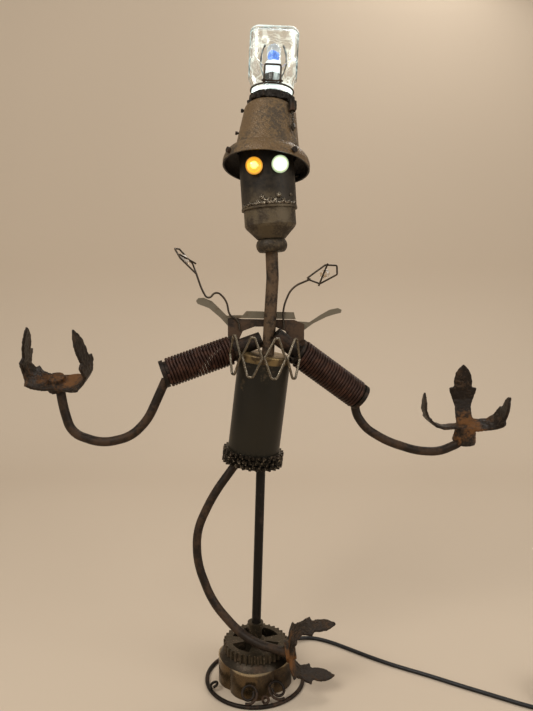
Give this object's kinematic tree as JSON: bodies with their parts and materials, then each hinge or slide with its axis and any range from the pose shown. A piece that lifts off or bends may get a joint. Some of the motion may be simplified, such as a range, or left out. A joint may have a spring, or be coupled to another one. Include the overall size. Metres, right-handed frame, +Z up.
{
  "type": "robot shaped desk lamp",
  "caption": "Scrap-metal desk lamp shaped as a standing robot: glass-jar light on a bell hat, lit eyes, spring arms with leaf-shaped hands, gear and lobed cup base.",
  "frame": {"origin": "centre of the cup's bottom plate, on the desk", "axes": "+Z up, +X to the viewer's right in the picture, +Y away from the viewer"},
  "size_m": [0.6069, 0.1566, 0.6576],
  "materials": {
    "dark_steel": "satin",
    "rusty_bar": "satin",
    "spring_steel": "satin",
    "link_steel": "satin",
    "sheet_steel": "satin",
    "aged_brass": "satin",
    "olive_tube": "satin",
    "cap_brass": "satin",
    "neck_steel": "satin",
    "patina_steel": "matte",
    "can_steel": "satin",
    "hat_enamel": "matte",
    "black_plastic": "satin",
    "black_rubber": "satin",
    "clear_glass": "gloss",
    "bulb_glass": "gloss",
    "white_plastic": "matte",
    "amber_lens": "gloss",
    "white_lens": "gloss",
    "bezel_metal": "satin",
    "stone": "gloss",
    "wire_steel": "satin"
  },
  "bodies": {
    "lamp": {"base_ring": "dark_steel", "base_scrolls": "dark_steel", "base_cup": "aged_brass", "base_plate": "dark_steel", "base_drum": "dark_steel", "base_gear": "dark_steel", "stem_collar": "dark_steel", "stem": "dark_steel", "leg": "rusty_bar", "foot": "rusty_bar", "waist_sprocket_lower": "dark_steel", "waist_sprocket_middle": "dark_steel", "waist_sprocket_upper": "dark_steel", "torso_tube": "olive_tube", "torso_cap": "cap_brass", "neck": "neck_steel", "ruff": "link_steel", "shoulder_plate": "sheet_steel", "shoulder_yoke": "rusty_bar", "left_wing": "sheet_steel", "right_wing": "sheet_steel", "shoulder_lugs": "dark_steel", "left_spring": "spring_steel", "right_spring": "spring_steel", "left_antenna": "wire_steel", "right_antenna": "wire_steel", "left_setting": "wire_steel", "right_setting": "wire_steel", "crystals": "stone", "head_collar": "patina_steel", "head_bowl": "patina_steel", "head_can": "can_steel", "mouth_weld": "patina_steel", "eye_bezels": "bezel_metal", "left_eye_lens": "amber_lens", "right_eye_lens": "white_lens", "hat": "hat_enamel", "hat_screws": "dark_steel", "lamp_pipe": "dark_steel", "crown": "dark_steel", "pull_switch": "dark_steel", "lamp_holder": "black_plastic", "bulb": "bulb_glass", "bulb_base": "white_plastic", "inner_wiring": "black_rubber", "strain_relief": "black_rubber", "cord": "black_rubber", "cord_coil": "black_rubber", "plug": "black_plastic"},
    "left_arm": {"left_elbow": "dark_steel", "left_forearm": "rusty_bar", "left_hand": "rusty_bar"},
    "right_arm": {"right_elbow": "dark_steel", "right_forearm": "rusty_bar", "right_hand": "rusty_bar"},
    "jar_unit": {"jar": "clear_glass", "jar_wire": "wire_steel"},
    "clasp": {"jar_clasp": "wire_steel"},
    "chain": {"pull_chain": "wire_steel"}
  },
  "joints": [
    {"name": "left_arm_flex", "type": "hinge", "parent": "lamp", "child": "left_arm", "pos_m": [-0.05395, -0.009, 0.3358], "axis": [0, 1, 0], "range_deg": [-12, 12], "stiffness_Nm_per_rad": 8, "deforming": ["left_spring"]},
    {"name": "right_arm_flex", "type": "hinge", "parent": "lamp", "child": "right_arm", "pos_m": [0.07515, 0.0045, 0.32125], "axis": [0, -1, 0], "range_deg": [-12, 12], "stiffness_Nm_per_rad": 8, "deforming": ["right_spring"]},
    {"name": "jar_lift", "type": "slide", "parent": "lamp", "child": "jar_unit", "axis": [0.0489, 0.0697, 0.9964], "range_m": [0, 0.06]},
    {"name": "jar_clasp_swing", "type": "hinge", "parent": "jar_unit", "child": "clasp", "pos_m": [0.01739, -0.01532, 0.60226], "axis": [0.9988, -0.0034, -0.0487], "range_deg": [0, 110]},
    {"name": "chain_pull", "type": "slide", "parent": "lamp", "child": "chain", "axis": [0.0332, -0.2969, -0.9543], "range_m": [0, 0.008], "stiffness_N_per_m": 150}
  ]
}
